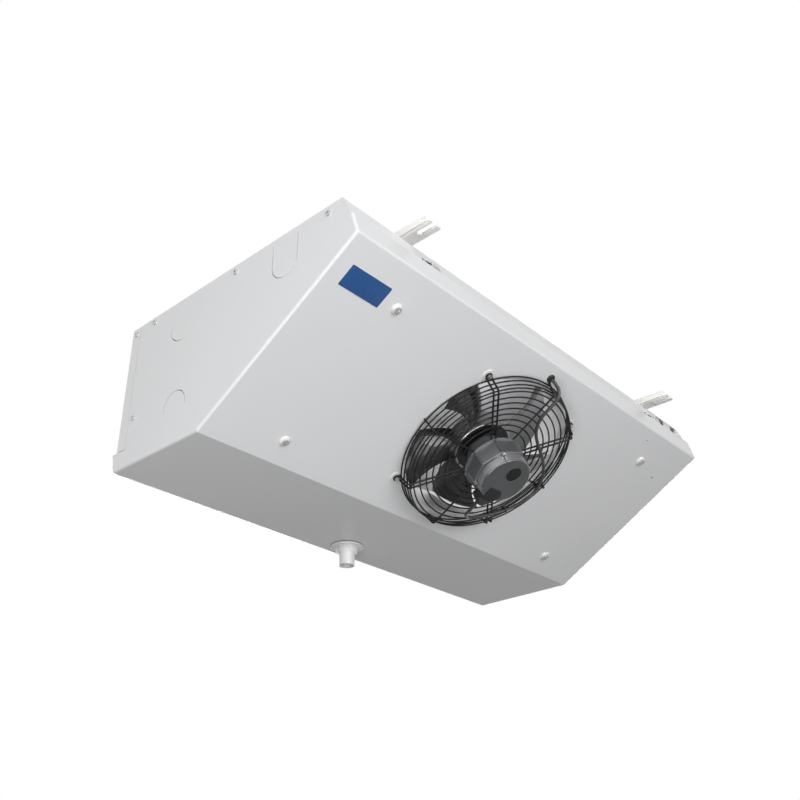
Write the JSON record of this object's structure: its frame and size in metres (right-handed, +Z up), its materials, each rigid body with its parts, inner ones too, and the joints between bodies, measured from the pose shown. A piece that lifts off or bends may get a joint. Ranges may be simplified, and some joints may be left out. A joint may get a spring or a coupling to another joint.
{
  "type": "walk-in unit cooler",
  "caption": "Ceiling-hung evaporator cooler with a sloped fan panel, wire-guarded axial fan, finned coil, swing-down drip tray hood and drain spigot.",
  "frame": {"origin": "middle of the four hanging points, in the ceiling plane that the bracket flanges rest on", "axes": "+X along the length to the wiring end, -Y to the front with the fan, +Y to the wall, +Z up"},
  "size_m": [0.8444, 0.541, 0.276],
  "materials": {
    "white_paint": "smooth satin white powder coat",
    "bare_sheet": "bare zinc-coated sheet",
    "zinc_sheet": "zinc-coated sheet",
    "nozzle_grey": "dark grey paint",
    "fin_aluminium": "thin mill-finish fins",
    "hub_aluminium": "spun and polished",
    "copper": "drawn copper tube",
    "screw_steel": "zinc-plated screws",
    "white_plastic": "moulded white plastic",
    "drain_plastic": "moulded white plastic",
    "black_wire": "black dipped steel wire",
    "motor_grey": "dark grey die casting",
    "machined_steel": "turned steel",
    "black_rubber": "matt black rubber",
    "black_blade": "glossy black moulding",
    "box_plastic": "moulded grey plastic"
  },
  "bodies": {
    "casing": {"top_panel": "white_paint", "left_rear_post": "white_paint", "right_rear_post": "white_paint", "left_ceiling_bracket": "bare_sheet", "right_ceiling_bracket": "bare_sheet", "left_coil_end_plate": "zinc_sheet", "right_coil_end_plate": "zinc_sheet", "fin_pack": "fin_aluminium", "coil_tubes": "copper", "hairpin_bends": "copper", "return_bends": "copper", "suction_header": "copper", "liquid_distributor": "copper", "feed_tubes": "copper", "bracket_screws": "screw_steel", "post_screws": "screw_steel", "terminal_box": "box_plastic", "terminal_box_lid": "box_plastic"},
    "hood": {"hood_wrap": "white_paint", "left_end_face": "white_paint", "right_end_face": "white_paint", "side_screws": "screw_steel", "left_stiffener": "zinc_sheet", "right_stiffener": "zinc_sheet", "panel_washers": "white_plastic", "panel_screws": "screw_steel", "drain_spigot": "drain_plastic", "drain_seal": "black_rubber", "drain_nut": "drain_plastic", "fan_nozzle": "nozzle_grey", "guard_front_rings": "black_wire", "guard_side_rings": "black_wire", "guard_double_struts": "black_wire", "guard_single_struts": "black_wire", "guard_motor_ring": "zinc_sheet", "guard_foot_washers": "white_plastic", "guard_foot_screws": "screw_steel", "motor_body": "motor_grey", "motor_cap": "motor_grey", "port_plug": "black_rubber", "motor_cap_screws": "screw_steel", "motor_stator": "motor_grey", "front_bearing": "machined_steel", "rear_bearing": "machined_steel", "cable_outlet": "black_rubber", "motor_lead": "black_rubber", "panel_grommet": "black_rubber", "cable_ties": "black_rubber"},
    "fan_rotor": {"motor_shaft": "machined_steel", "rotor_core": "machined_steel", "fan_hub": "hub_aluminium", "fan_blades": "black_blade"}
  },
  "joints": [
    {"name": "hood_swing", "type": "hinge", "parent": "casing", "child": "hood", "pos_m": [0, -0.22, -0.023], "axis": [-1, 0, 0], "range_deg": [0, 35]},
    {"name": "fan_spin", "type": "hinge", "parent": "hood", "child": "fan_rotor", "pos_m": [0.005, -0.10247, -0.16106], "axis": [0, -0.5033, -0.8641], "continuous": true}
  ]
}
